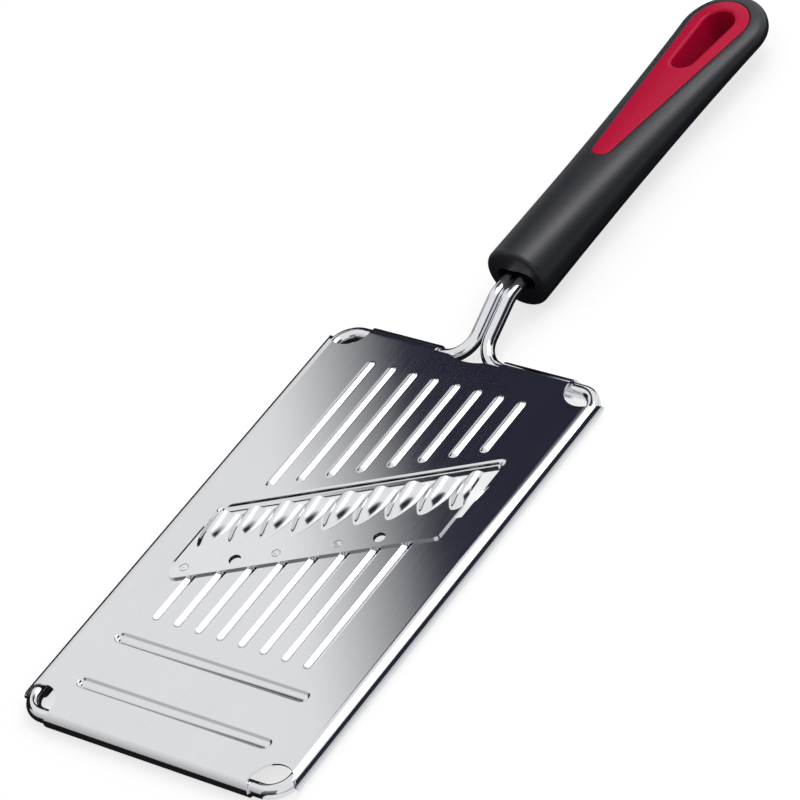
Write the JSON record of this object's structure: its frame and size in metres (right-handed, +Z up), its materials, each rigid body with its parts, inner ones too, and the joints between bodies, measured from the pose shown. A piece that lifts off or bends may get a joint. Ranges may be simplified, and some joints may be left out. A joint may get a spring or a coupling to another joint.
{
  "type": "waffle cutter",
  "caption": "Hand-held waffle cutter: ribbed sheet-steel plate hemmed over a wire frame, a slanted corrugated blade over a slot, and a moulded handle with an inlay and a hanging eye.",
  "frame": {"origin": "under the middle of the whole cutter, on the plane that the plate's hems rest on", "axes": "+Y along the cutter towards the handle's eye, +Z up out of the plate's ribbed face, +X to the right"},
  "size_m": [0.1134, 0.3591, 0.0242],
  "materials": {
    "plate_steel": "satin rolled stainless sheet",
    "wire_steel": "drawn and polished stainless wire",
    "blade_steel": "bright ground stainless blade",
    "rivet_steel": "flush closed rivets",
    "handle_black": "fine-textured moulded black",
    "inlay_red": "satin-gloss red"
  },
  "bodies": {
    "root": {"cutting_plate": "plate_steel", "wire_frame": "wire_steel", "waffle_blade": "blade_steel", "blade_rivets": "rivet_steel", "handle_body": "handle_black", "handle_inlay": "inlay_red"}
  },
  "joints": []
}
